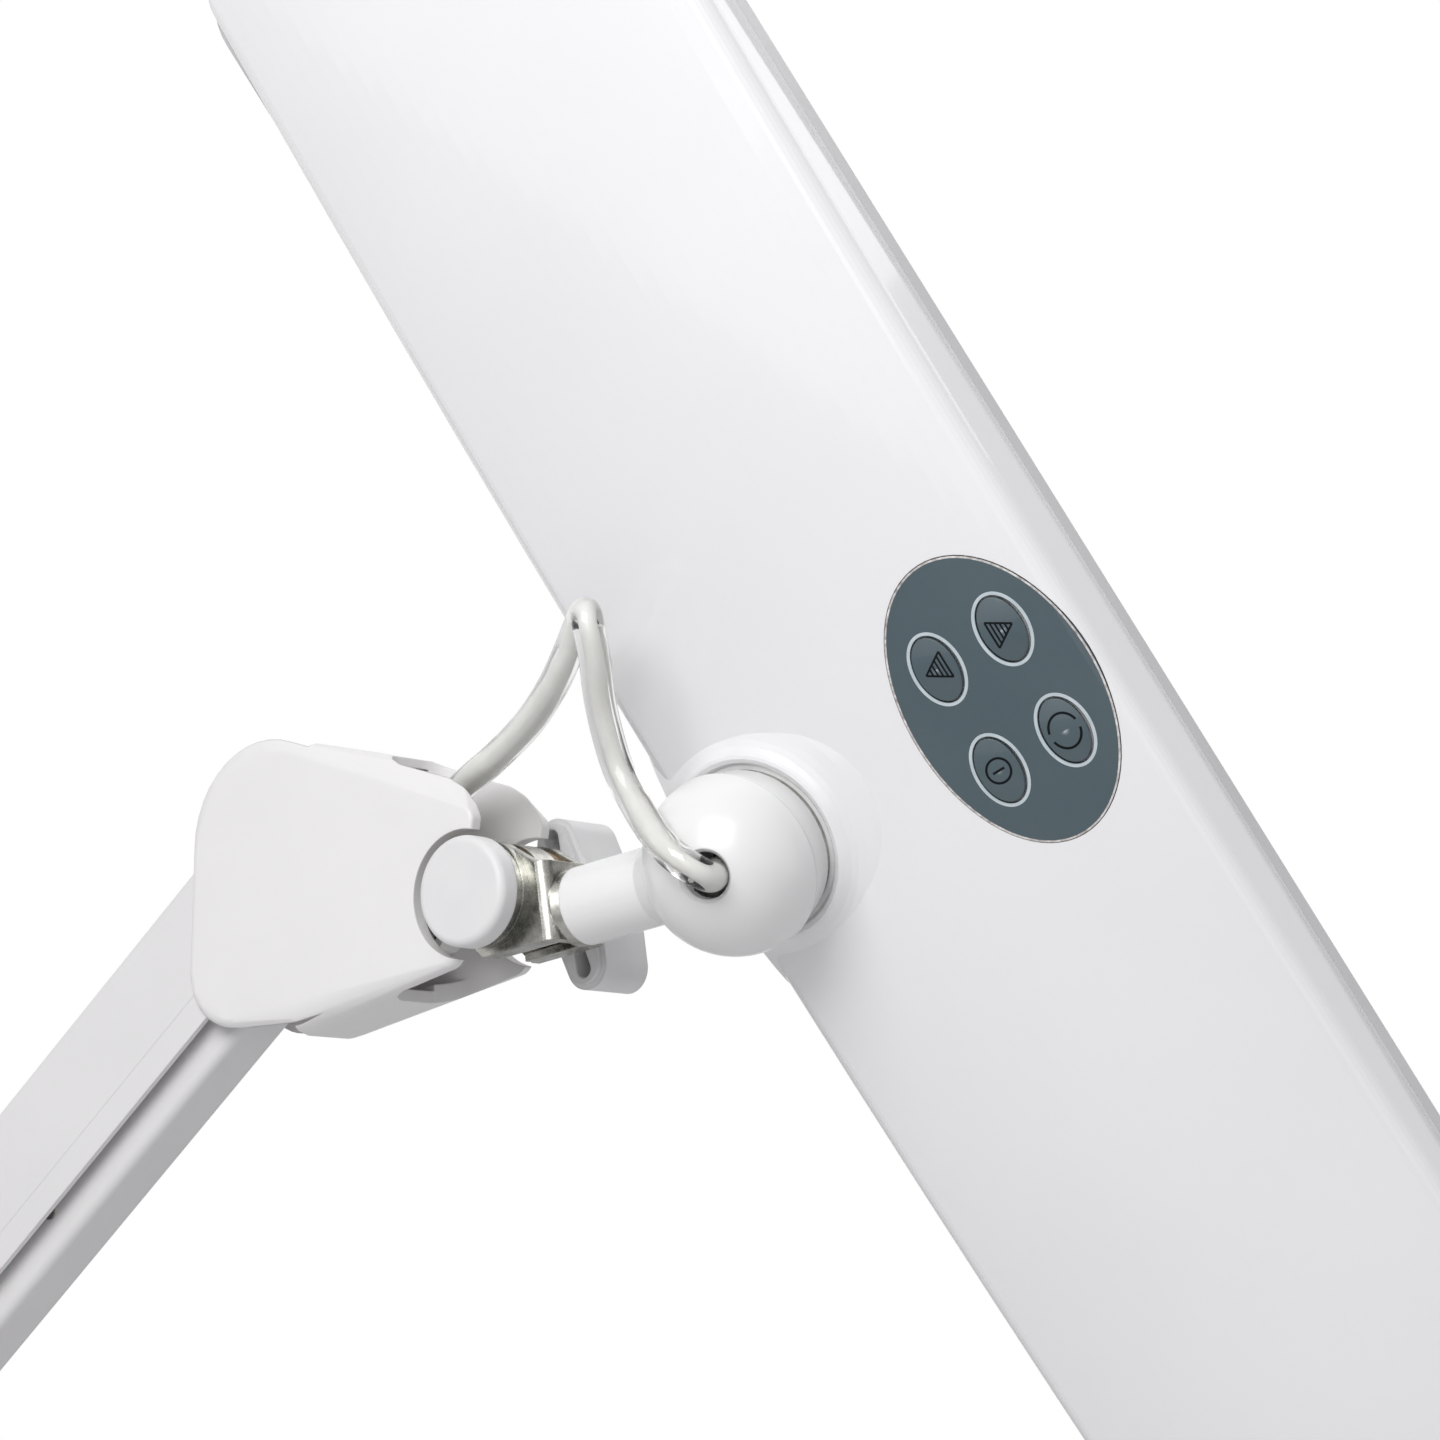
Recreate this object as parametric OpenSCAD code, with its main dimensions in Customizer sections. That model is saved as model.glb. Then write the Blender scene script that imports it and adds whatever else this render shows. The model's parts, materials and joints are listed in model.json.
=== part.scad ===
// Folding LED desk lamp: a long flat head on a ball and stem, tilted by a wing knob at the end of
// two balanced parallelogram arms, on a desk clamp.
// Origin: the desk face under the clamp's upper jaw, on the post's axis. +Z is up, the arms lie in
// the XZ plane, and the head hangs out towards +X.

/* [Arms] */
// Distance between the two pivots of each arm bar
arm_len = 380; // [260:5:460]
// Elevation of the lower arm at rest, degrees
lower_angle = 115; // [105:1:125]
// Elevation of the upper arm at rest, degrees
upper_angle = 40; // [30:1:50]
// Distance between the outer and the inner bar's pivots
link_gap = 15; // [14.5:0.5:16]
// Width of the outer channel
outer_w = 20; // [19:0.5:21]
// Height of the outer channel
outer_depth = 26.5; // [24:0.5:28]
// Outer channel's web above its own pivots
outer_above = 10.3; // [9.5:0.1:11]
// Bend radius of the outer channel
outer_bend = 2.6; // [2:0.1:3]
// Width of the inner channel
inner_w = 12.5; // [12:0.5:13.5]
// Inner channel's web below its own pivots
inner_below = 7.2; // [6.8:0.1:8]
// Inner channel's edges above its own pivots
inner_above = 10; // [8:0.5:10.5]
// Radius of the inner channel's ears round its pivots
inner_ear = 6; // [5.2:0.1:6.2]
// Sheet thickness of the channels
sheet = 1.2; // [1:0.1:1.4]
// Radius of the pivot pins
pin_r = 2.5; // [2:0.1:2.8]
// Diameter of the balance springs
spring_d = 8.6; // [6:0.2:9]
// Length of the balance springs
spring_len = 210; // [150:5:220]

/* [Knuckles] */
// Overall width of the moulded knuckles
knuckle_w = 23.6; // [22.6:0.2:25]
// Thickness of the knuckle's skin
skin = 1.5; // [1.2:0.1:1.8]
// Width of the slot that takes the yoke
slot_w = 18; // [17.4:0.2:18.4]
// Thickness of the steel tongue inside each knuckle
tongue_t = 6; // [5:0.5:6.5]

/* [Tilt joint] */
// Diameter of the tilt bolt
bolt_d = 8; // [6:0.5:9]
// Diameter of the round cap over the bolt head
cap_d = 21.7; // [20:0.1:23]
// Thickness of the cap
cap_t = 4.6; // [4:0.1:6]
// Radius of the yoke's ears
ear_r = 10.4; // [9.5:0.1:11]
// Sheet thickness of the yoke
yoke_t = 2.2; // [1.8:0.1:2.6]
// Gap between the yoke's ears
yoke_gap = 12.2; // [11.6:0.1:12.8]
// Distance from the tilt bolt to the yoke's front fold
yoke_reach = 12.7; // [12:0.1:14]
// Wing knob, tip to tip
wing_span = 35.6; // [30:0.2:40]
// Wing knob's height along the bolt
knob_h = 20.9; // [18:0.1:24]

/* [Ball and stem] */
// Diameter of the hollow ball
ball_d = 35.4; // [33:0.2:36]
// Diameter of the stem
stem_d = 15.4; // [13:0.2:16]
// Distance from the tilt bolt to the ball's centre along the stem
ball_reach = 54.5; // [50:0.5:60]
// Elevation of the stem at rest, degrees
stem_angle = 9; // [0:1:15]
// Turn of the stem about its own axis, degrees
stem_twist = 25; // [15:1:30]
// Stem axis below the tilt bolt
stem_drop = 5.5; // [4:0.1:6]
// Diameter of the cable's hole in the ball
cable_hole_d = 9; // [8:0.2:10]

/* [Head] */
// Width of the head
head_w = 94.5; // [90:0.5:110]
// Length of the head
head_len = 400; // [300:5:600]
// Height of the crown above the bezel's underside
head_h = 23.2; // [22:0.1:26]
// Height of the bezel
bezel_h = 4.5; // [4:0.1:6]
// Step from the bezel to the cover
cover_step = 0.5; // [0.4:0.1:1]
// Wall of the cover
cover_t = 2; // [1.6:0.1:2.4]
// Radius of the crown across the head
crown_r = 170; // [150:5:220]
// Fall of the crown from the head's middle to each end
arch_drop = 10; // [6:0.5:11]
// Radius of the cover's long edges
edge_r = 4.5; // [3.5:0.1:5.5]
// Turn of the head about the ball at rest, degrees
swivel_rest = 12; // [0:1:20]
// Tilt of the ball's seat against the head's plane, degrees
seat_tilt = 11.2; // [9:0.1:13]
// Distance from the head's middle line to the ball's seat
seat_offset = 33; // [31:0.5:35]

/* [Keypad] */
// Length of the oval keypad along the head
keypad_len = 57.8; // [54:0.2:64]
// Width of the oval keypad across the head
keypad_w = 37; // [35:0.2:38]
// Distance from the head's middle line to the keypad's centre
keypad_offset = 25.5; // [22:0.5:26]
// Length of one key
key_len = 12.8; // [12:0.2:15]
// Width of one key
key_w = 8; // [8:0.2:10]
// Distance between the key rows along the head
key_pitch_len = 21.8; // [20:0.2:24]
// Distance between the key columns across the head
key_pitch_w = 14.4; // [13:0.2:15]

/* [Clamp] */
// Widest opening of the clamp's jaws
jaw_gap = 68; // [60:1:80]
// Thickness of the desk that the clamp is set to
desk_t = 30; // [15:1:40]
// Width of the clamp
clamp_w = 44; // [38:1:52]
// Reach of the jaws behind and before the post
jaw_reach = 30; // [26:1:36]
// Thickness of the jaws
jaw_t = 8; // [7:0.5:10]
// Diameter of the post
post_d = 12; // [10:0.5:13]
// Height of the post's socket above the desk
socket_h = 40; // [34:1:50]
// Outer diameter of the post's socket
socket_d = 26; // [24:0.5:30]
// Diameter of the clamp screw
screw_d = 10; // [8:0.5:12]
// Diameter of the pressure pad
pad_d = 32; // [26:1:36]

/* [Hidden] */
$fn = 64;

// Clearances
run_fit = 0.05;
slide_gap = 0.3;

// Pivots in the XZ plane
function along(a) = [cos(a), sin(a)];
function flat_to_space(p) = [p.x, 0, p.y];
base_in = [8, socket_h + 34];
base_out = base_in + link_gap * along(lower_angle + 90);
elbow_low_in = base_in + arm_len * along(lower_angle);
elbow_low_out = base_out + arm_len * along(lower_angle);
elbow_up_out = elbow_low_out + [10, 34];
elbow_up_in = elbow_up_out - link_gap * along(upper_angle + 90);
head_in = elbow_up_in + arm_len * along(upper_angle);
head_out = elbow_up_out + arm_len * along(upper_angle);
bolt = head_in + [44.2, -6];

// Widths across the arms
cavity_half = knuckle_w / 2 - skin;
tongue_half = tongue_t / 2;
yoke_in = yoke_gap / 2;
yoke_out = yoke_in + yoke_t;

// Head levels, in the head's own frame
seat_height = 20;
seat_drop = 9;
arch_r = head_len * head_len / 8 / arch_drop;
cover_half = head_w / 2 - cover_step;
cover_half_len = head_len / 2 - cover_step;
wall_draft = 6;
plan_r = 14;
ball_r = ball_d / 2;
washer_r = ball_r - 2.2;
skirt_h = 7.2;
tube_r = 6.5;
tube_bore = 4.6;
pocket_t = 1.1;

// Common plain shapes

// A slab between y0 and y1 of a flat shape drawn in the XZ plane
module slab(y0, y1) translate([0, y1, 0]) rotate([90, 0, 0]) linear_extrude(y1 - y0) children();

// A round bar along Y at point p of the XZ plane
module bar(p, r, y0, y1) translate([p.x, y1, p.y]) rotate([90, 0, 0]) cylinder(r = r, h = y1 - y0);

// The outline round two circles
module link(p1, r1, p2, r2) {
    gap = p2 - p1;
    turn = atan2(gap.y, gap.x);
    lean = acos((r1 - r2) / norm(gap));
    translate(p1) circle(r1);
    translate(p2) circle(r2);
    polygon([p1 + r1 * along(turn + lean), p1 + r1 * along(turn - lean),
        p2 + r2 * along(turn - lean), p2 + r2 * along(turn + lean)]);
}

module both_sides() {
    children();
    mirror([0, 1, 0]) children();
}

// Puts children drawn along +X at a pivot of an arm
module place_arm(pivot, angle) translate(flat_to_space(pivot)) rotate([0, -angle, 0]) children();

// ---- Desk clamp ----

spine_x = -jaw_reach - 4;
spine_t = 9;
lower_jaw_top = -jaw_gap;
boss_h = 16;
pad_t = 6;
pad_top = -desk_t;
pad_bottom = pad_top - pad_t;
screw_len = jaw_gap + boss_h + 28 - desk_t + pad_t;
handle_d = 7;
handle_len = 64;
socket_floor = jaw_t + 2;
bush_t = (socket_d - post_d) / 2 - 3.5;
bush_lip = 1.6;

// Side view of the C-shaped frame
module clamp_outline() {
    difference() {
        union() {
            translate([spine_x, lower_jaw_top - jaw_t]) square([spine_t, jaw_gap + 2 * jaw_t]);
            translate([spine_x + 4, 0]) square([2 * jaw_reach, jaw_t]);
            link([spine_x + 5, lower_jaw_top - jaw_t / 2 - 1], jaw_t / 2 + 1,
                [socket_d / 2, lower_jaw_top - jaw_t / 2], jaw_t / 2);
            translate([spine_x + spine_t, lower_jaw_top]) square([5, 5]);
        }
        translate([spine_x + spine_t + 5, lower_jaw_top + 5]) circle(5);
        for (end = [-1, 1])
            translate([spine_x, end > 0 ? jaw_t : lower_jaw_top - jaw_t])
                rotate([0, 0, end > 0 ? -90 : 0])
                    difference() {
                        translate([-1, -1]) square([4, 4]);
                        translate([3, 3]) circle(3);
                    }
    }
}

// Plan of the frame: a plate that narrows round the post and the screw
module clamp_plan() {
    translate([spine_x, -clamp_w / 2]) square([spine_t + 8, clamp_w]);
    link([spine_x + spine_t + 8 - 6, 0], clamp_w / 2, [jaw_reach - 14, 0], clamp_w / 2 - 8);
}

module clamp_frame() color("gainsboro") difference() {
    union() {
        intersection() {
            slab(-clamp_w / 2, clamp_w / 2) clamp_outline();
            translate([0, 0, lower_jaw_top - 2 * jaw_t]) linear_extrude(jaw_gap + 4 * jaw_t) clamp_plan();
        }
        cylinder(d = socket_d, h = socket_h);
        cylinder(d1 = socket_d + 10, d2 = socket_d, h = jaw_t + 7);
        translate([0, 0, lower_jaw_top - boss_h]) cylinder(d = screw_d + 10, h = boss_h);
        for (side = [-1, 1])
            slab(side * clamp_w / 2 * 0.62 - 2, side * clamp_w / 2 * 0.62 + 2)
                polygon([[spine_x + 3, jaw_t - 1], [spine_x + 3, jaw_t + 5], [-socket_d / 2 - 3, jaw_t + 5],
                    [-socket_d / 2 + 5, jaw_t - 1]]);
    }
    translate([0, 0, socket_floor]) cylinder(r = post_d / 2 + bush_t, h = socket_h);
    translate([0, 0, lower_jaw_top - boss_h - 1]) cylinder(d = screw_d + 2 * run_fit, h = boss_h + jaw_t);
    // The desk face stays clear of the jaw's rubber pad
    translate([spine_x + spine_t, -clamp_w / 2 + 5, -1]) cube([2 * jaw_reach - 14, clamp_w - 10, 1 + 1]);
}

module jaw_pad() color("dimgray")
    translate([spine_x + spine_t, -clamp_w / 2 + 5, 0]) cube([2 * jaw_reach - 14, clamp_w - 10, 1]);

module clamp_screw() color("silver") difference() {
    union() {
        translate([0, 0, pad_bottom - screw_len]) cylinder(d = screw_d, h = screw_len + 2);
        translate([0, 0, pad_bottom - screw_len - 4]) cylinder(d = screw_d + 5, h = 15);
    }
    bar([0, pad_bottom - screw_len + 3], handle_d / 2, -screw_d, screw_d);
}

module clamp_handle() color("dimgray") {
    bar([0, pad_bottom - screw_len + 3], handle_d / 2, -handle_len / 2, handle_len / 2);
    both_sides() translate([0, handle_len / 2, pad_bottom - screw_len + 3]) sphere(d = handle_d + 4);
}

module pressure_pad() color("dimgray") translate([0, 0, pad_bottom]) difference() {
    rotate_extrude() difference() {
        polygon([[0, 0], [screw_d / 2 + 4, 0], [pad_d / 2 - 2, 2.4], [pad_d / 2, 4], [pad_d / 2, pad_t],
            [0, pad_t]]);
        translate([pad_d / 2 + 0.8, 4]) circle(1);
    }
    translate([0, 0, -1]) cylinder(d = screw_d + 2 * run_fit, h = 3.1);
}

module post_bush() color("dimgray") difference() {
    union() {
        translate([0, 0, socket_floor]) cylinder(r = post_d / 2 + bush_t, h = socket_h - socket_floor);
        translate([0, 0, socket_h]) cylinder(d = socket_d, h = bush_lip);
    }
    translate([0, 0, socket_floor - 1]) cylinder(d = post_d + 2 * run_fit, h = socket_h);
}

// ---- Base knuckle ----

hub_z = socket_h + bush_lip + slide_gap;
hub_h = 13;
hub_r = post_d / 2 + 5;

module base_post() color("silver")
    translate([0, 0, socket_floor + slide_gap]) cylinder(d = post_d, h = hub_z + hub_h - 2 - socket_floor - slide_gap);

// The steel tongue of a knuckle with its bosses: wide ones for inner bars, slim ones for outer bars
module inner_boss(p) bar(p, pin_r + 2.6, -inner_w / 2 + sheet + slide_gap / 2,
    inner_w / 2 - sheet - slide_gap / 2);
module outer_boss(p) bar(p, pin_r + 1.4, -outer_w / 2 + sheet + slide_gap / 2,
    outer_w / 2 - sheet - slide_gap / 2);
module pivot_bores(inner, outer) {
    bar(inner, pin_r, -knuckle_w, knuckle_w);
    bar(outer, pin_r, -knuckle_w, knuckle_w);
}
module pivot_pins(inner, outer) {
    bar(inner, pin_r, -inner_w / 2 - 0.6, inner_w / 2 + 0.6);
    bar(outer, pin_r, -cavity_half + 0.1, cavity_half - 0.1);
}

base_screw_points = [[10.5, hub_z + 6.5], [-10.5, hub_z + 6.5]];
module base_bracket() color("silver") difference() {
    union() {
        slab(-tongue_half, tongue_half) {
            link(base_in, 7.5, base_out, 7.5);
            polygon([[-13, hub_z + 3], [13, hub_z + 3], base_in + [7, -3], base_out + [-6, -4.5]]);
        }
        translate([0, 0, hub_z]) cylinder(r = hub_r, h = hub_h);
        inner_boss(base_in);
        outer_boss(base_out);
    }
    translate([0, 0, hub_z - 1]) cylinder(d = post_d, h = hub_h - 1);
    pivot_bores(base_in, base_out);
    for (p = base_screw_points) bar(p, screw_hole_r, -knuckle_w, knuckle_w);
}

// One rounded disc of a knuckle's outer form: centre, radius and radius of its rim
module disc(d) for (a = [0:30:90])
    bar([d[0], d[1]], d[2] - d[3] * (1 - cos(a)), -knuckle_w / 2 + d[3] * (1 - sin(a)),
        knuckle_w / 2 - d[3] * (1 - sin(a)), $fn = 40);

// The same disc without its rim, drawn in the XZ plane and set in by the skin
module inset_disc(d, inset) translate([d[0], d[1]]) circle(max(d[2] - inset, 0.5));

// Round bosses that carry the screws from the skin to the tongue
screw_r = 1.5;
screw_hole_r = 1.7;
screw_boss_r = 3.6;
module screw_bosses(points) both_sides() for (p = points)
    bar(p, screw_boss_r, tongue_half, knuckle_w / 2 - skin / 2);
module screw_bores(points) for (p = points) {
    bar(p, screw_hole_r, -tongue_half - 4, knuckle_w);
    bar(p, 2.9, knuckle_w / 2 - 2.2, knuckle_w);
}
module screws(points) for (p = points) {
    bar(p, screw_r, -tongue_half - 3.5, knuckle_w / 2 - 1);
    difference() {
        bar(p, 2.6, knuckle_w / 2 - 2.2, knuckle_w / 2 - 0.5);
        bar(p, 1, knuckle_w / 2 - 1.4, knuckle_w, $fn = 6);
    }
}

base_low = [0, hub_z + 15.5, 15.5, 5];
base_front = [base_in.x - 2, base_in.y - 2, 16, 5];
base_rear = [base_out.x - 1, base_out.y + 0.5, 15.5, 5];
module base_housing() color("whitesmoke") difference() {
    union() {
        difference() {
            union() {
                hull() {
                    disc(base_low);
                    disc(base_front);
                    disc(base_rear);
                }
                translate([0, 0, hub_z]) cylinder(r = hub_r + 4, h = 11);
                translate([0, 0, hub_z]) cylinder(r1 = hub_r + 3, r2 = hub_r + 4, h = 2);
            }
            // Room for the bars between the skins, open to the top and to the rear
            slab(-cavity_half, cavity_half) {
                inset_disc(base_front, skin + 0.5);
                inset_disc(base_rear, skin + 0.3);
                polygon([base_in + [12, 4], base_in + [16, 40], base_in + [-80, 40],
                    base_in + [-80, -14], base_out + [-8, -11], base_in + [0, -13]]);
            }
            translate([0, 0, hub_z - 1]) cylinder(r = hub_r + 0.1, h = hub_h + 1.1);
        }
        intersection() {
            screw_bosses(base_screw_points);
            hull() {
                disc(base_low);
                disc(base_front);
                disc(base_rear);
            }
        }
    }
    slab(-tongue_half - 0.1, tongue_half + 0.1)
        polygon([[-13.3, hub_z + 2.9], [13.3, hub_z + 2.9], base_in + [9, 20], base_out + [-8, 20]]);
    translate([0, 0, hub_z - 1]) cylinder(r = hub_r + 0.1, h = hub_h + 1.1);
    screw_bores(base_screw_points);
    translate([0, -knuckle_w / 2 - 1, gland_z]) rotate([-90, 0, 0]) cylinder(d = gland_d, h = 8);
}

// Supply inlet on the near side of the base knuckle
gland_z = base_out.y - 9;
gland_d = 6;
gland_flange = 1.8;
module supply_gland() color("dimgray")
    translate([0, -knuckle_w / 2 - gland_flange, gland_z]) rotate([-90, 0, 0]) difference() {
        union() {
            cylinder(d = gland_d, h = gland_flange + skin);
            cylinder(d = gland_d + 3.5, h = gland_flange);
        }
        translate([0, 0, -1]) cylinder(d = gland_d - 2, h = 8);
    }

module base_pins() color("silver") pivot_pins(base_in, base_out);

// ---- Arms ----

// A rounded U section across an arm, open downwards: width, bottom, top and bend radius
module u_solid(w, bottom, top, bend) {
    translate([-w / 2, bottom]) square([w, top - bottom - bend]);
    translate([-w / 2 + bend, bottom]) square([w - 2 * bend, top - bottom]);
    for (side = [-1, 1]) translate([side * (w / 2 - bend), top - bend]) circle(bend);
}
module u_section(w, bottom, top, bend) difference() {
    u_solid(w, bottom, top, bend);
    u_solid(w - 2 * sheet, bottom - 1, top - sheet, bend - sheet);
}
module run_along(len) translate([-len, 0, 0]) rotate([90, 0, 90]) linear_extrude(3 * len) children();

outer_below = outer_depth - outer_above;
corner = 14;
web_cut = 13;
// Side view of the outer bar: round ends at the web, slanted corners at the open side
module outer_profile() {
    for (x = [0, arm_len]) translate([x, 0]) circle(outer_above);
    translate([0, -outer_above]) square([arm_len, 2 * outer_above]);
    polygon([[corner / 4, 1 - outer_above], [arm_len - corner / 4, 1 - outer_above],
        [arm_len - corner, -outer_below], [corner, -outer_below]]);
}
module outer_channel() difference() {
    intersection() {
        slab(-outer_w, outer_w) outer_profile();
        run_along(arm_len) u_section(outer_w, -outer_below, outer_above, outer_bend);
    }
    for (x = [0, arm_len]) bar([x, 0], pin_r + run_fit, -outer_w, outer_w);
    // The web stops short of the pivots, so that the tongues pass between the ears
    for (x = [-outer_above - 1, arm_len - web_cut])
        translate([x, -outer_w / 2 + sheet, -outer_below - 1])
            cube([outer_above + 1 + web_cut, outer_w - 2 * sheet, outer_depth + 2]);
}

web_start = 24;
// Side view of the inner bar: ears at the pivots, full depth between them
module inner_profile() {
    for (x = [0, arm_len]) translate([x, 0]) circle(inner_ear);
    translate([0, -inner_ear]) square([arm_len, 2 * inner_ear]);
    polygon([[web_start, -inner_below], [arm_len - web_start, -inner_below],
        [arm_len - web_start - 6, inner_above], [web_start + 6, inner_above]]);
}
module inner_channel() difference() {
    intersection() {
        slab(-inner_w, inner_w) inner_profile();
        run_along(arm_len) rotate(180) u_section(inner_w, -inner_above, inner_below, 2);
    }
    // The far pivot has play, because the linkage is opened there
    bar([0, 0], pin_r + run_fit, -inner_w, inner_w);
    bar([arm_len, 0], pin_r + slide_gap, -inner_w, inner_w);
    for (x = [-1, arm_len - web_start])
        translate([x, -inner_w / 2 + sheet, -inner_depth])
            cube([web_start + 1, inner_w - 2 * sheet, inner_depth]);
    for (x = spring_pins_x) bar([x, spring_z], spring_pin_r, -inner_w, inner_w);
}
inner_depth = inner_below + inner_above;

// The balance spring lies in the inner bar between two cross pins, with a hook plate at each end
spring_z = 1;
spring_pin_r = 1.6;
spring_start = 60;
hook_len = 9;
spring_pins_x = [spring_start - hook_len, spring_start + spring_len + hook_len];
module spring_body() {
    translate([spring_start, 0, spring_z]) rotate([0, 90, 0]) difference() {
        cylinder(d = spring_d, h = spring_len);
        translate([0, 0, 4]) cylinder(d = spring_d - 2.8, h = spring_len - 8);
    }
    slab(-0.8, 0.8) difference() {
        union() {
            link([spring_pins_x[0], spring_z], 3.4, [spring_start + 2, spring_z], 3);
            link([spring_pins_x[1], spring_z], 3.4, [spring_start + spring_len - 2, spring_z], 3);
        }
        for (x = spring_pins_x) translate([x, spring_z]) circle(spring_pin_r + run_fit);
        translate([spring_start + 4, spring_z - 3]) square([spring_len - 8, 6]);
    }
}
module spring_pins() for (x = spring_pins_x)
    bar([x, spring_z], spring_pin_r, -inner_w / 2 - 0.3, inner_w / 2 + 0.3);

module lower_outer_channel() color("ivory") place_arm(base_out, lower_angle) outer_channel();
module lower_inner_channel() color("ivory") place_arm(base_in, lower_angle) inner_channel();
module lower_spring() color("gray") place_arm(base_in, lower_angle) spring_body();
module lower_spring_pins() color("silver") place_arm(base_in, lower_angle) spring_pins();
module upper_outer_channel() color("ivory") place_arm(elbow_up_out, upper_angle) outer_channel();
module upper_inner_channel() color("ivory") place_arm(elbow_up_in, upper_angle) inner_channel();
module upper_spring() color("gray") place_arm(elbow_up_in, upper_angle) spring_body();
module upper_spring_pins() color("silver") place_arm(elbow_up_in, upper_angle) spring_pins();

// ---- Elbow knuckle ----

elbow_screw_points = [elbow_low_out + [-8.5, 12], elbow_low_out + [-6, 25]];
elbow_discs = [
    [elbow_low_out.x + 2, elbow_low_out.y + 1, 19.5, 4],
    [elbow_low_in.x, elbow_low_in.y, 14, 4],
    [elbow_up_in.x, elbow_up_in.y, 13, 4],
    [elbow_up_out.x - 1, elbow_up_out.y - 1, 19.5, 4]
];
module elbow_bracket() color("silver") difference() {
    union() {
        slab(-tongue_half, tongue_half) {
            link(elbow_low_in, 7, elbow_low_out, 7);
            link(elbow_up_in, 7, elbow_up_out, 7);
            polygon([elbow_low_out + [-10, 0], elbow_low_in, elbow_up_in, elbow_up_out + [0, 5],
                elbow_up_out + [-18, -4], elbow_low_out + [-13, 10]]);
        }
        inner_boss(elbow_low_in);
        outer_boss(elbow_low_out);
        inner_boss(elbow_up_in);
        outer_boss(elbow_up_out);
    }
    pivot_bores(elbow_low_in, elbow_low_out);
    pivot_bores(elbow_up_in, elbow_up_out);
    for (p = elbow_screw_points) bar(p, screw_hole_r, -knuckle_w, knuckle_w);
}

module elbow_housing() color("whitesmoke") difference() {
    union() {
        difference() {
            hull() for (d = elbow_discs) disc(d);
            // Room for both arms, closed only by the rounded back
            slab(-cavity_half, cavity_half) {
                inset_disc(elbow_discs[0], skin + 0.6);
                inset_disc(elbow_discs[3], skin + 0.6);
                polygon([elbow_low_out + [-15.3, 2], elbow_low_out + [-40, -30], elbow_low_out + [60, -40],
                    elbow_low_out + [80, 90], elbow_up_out + [0, 40], elbow_up_out + [-15, 12],
                    elbow_up_out + [-18, -4]]);
            }
        }
        screw_bosses(elbow_screw_points);
    }
    screw_bores(elbow_screw_points);
}

module elbow_pins() color("silver") {
    pivot_pins(elbow_low_in, elbow_low_out);
    pivot_pins(elbow_up_in, elbow_up_out);
}

// ---- Head knuckle, drawn about the tilt bolt ----

rear_top = [-57, 14, 21, 3];
front_top = [-12, 17, 9, 8];
nose_top = [-4, 14.5, 2.8, 0.8];
nose_low = [-8.5, -10.5, 3.8, 1.5];
belly = [-50, -12, 13, 6];
rear_low = [-66, -11, 12, 2];
knuckle_screw_points = [bolt + [-25.5, 7], bolt + [-25, -5.5]];
notch_r = 12.6;
module at_bolt() translate(flat_to_space(bolt)) children();

module head_bracket() color("silver") difference() {
    union() {
        slab(-tongue_half, tongue_half) {
            link(bolt, 10.2, head_in, 7.5);
            link(head_in, 7.5, head_out, 7);
        }
        inner_boss(head_in);
        outer_boss(head_out);
    }
    bar(bolt, bolt_d / 2 + run_fit, -knuckle_w, knuckle_w);
    pivot_bores(head_in, head_out);
    for (p = knuckle_screw_points) bar(p, screw_hole_r, -knuckle_w, knuckle_w);
}

// Inside of the knuckle ahead of the bars, set in from the outer form
module head_room(inset) {
    link([rear_top.x, rear_top.y], rear_top[2] - inset, [front_top.x, front_top.y], front_top[2] - inset);
    link([belly.x, belly.y], belly[2] - inset, [nose_low.x, nose_low.y], 1);
    polygon([[rear_top.x, rear_top.y], [front_top.x, front_top.y], [nose_low.x, nose_low.y],
        [belly.x, belly.y]]);
}
room_x = -40.5;
belly_x = -49.5;
roof_x = -46;
module head_housing() color("whitesmoke") at_bolt() difference() {
    union() {
        difference() {
            hull() for (d = [rear_top, front_top, nose_top, nose_low, belly, rear_low]) disc(d);
            slab(-5, 5) head_room(skin + 0.3);
            slab(-slot_w / 2, slot_w / 2) head_room(skin + 3);
            // The rear is open between the skins, from the roof's edge down to the belly's edge
            slab(-cavity_half, cavity_half) {
                intersection() {
                    head_room(skin + 0.3);
                    translate([-100, -100]) square([100 + room_x, 200]);
                }
                polygon([[room_x, 12], [room_x, -5], [belly_x, -14], [belly_x, -60], [-100, -60],
                    [-100, 60], [roof_x, 60], [roof_x, 12]]);
            }
            // Slots in the roof and in the belly, where the cable and the yoke pass
            for (side = [[-28, 0, 60], [-26, -60, 60]])
                translate([side[0], 0, side[1]]) linear_extrude(side[2]) {
                    translate([6, -slot_w / 2]) square([60, slot_w]);
                    translate([0, -slot_w / 2 + 6]) square([60, slot_w - 12]);
                    for (y = [-1, 1]) translate([6, y * (slot_w / 2 - 6)]) circle(6);
                }
        }
        translate(-flat_to_space(bolt)) screw_bosses(knuckle_screw_points);
    }
    bar([-3.5, 0], notch_r, -knuckle_w, knuckle_w);
    translate(-flat_to_space(bolt)) screw_bores(knuckle_screw_points);
}

module head_pins() color("silver") pivot_pins(head_in, head_out);

module base_screws() color("silver") screws(base_screw_points);
module elbow_screws() color("silver") screws(elbow_screw_points);
module knuckle_screws() color("silver") screws(knuckle_screw_points);

// ---- Head cable ----

cable_r = 3;
cable_sides = 10;
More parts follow.
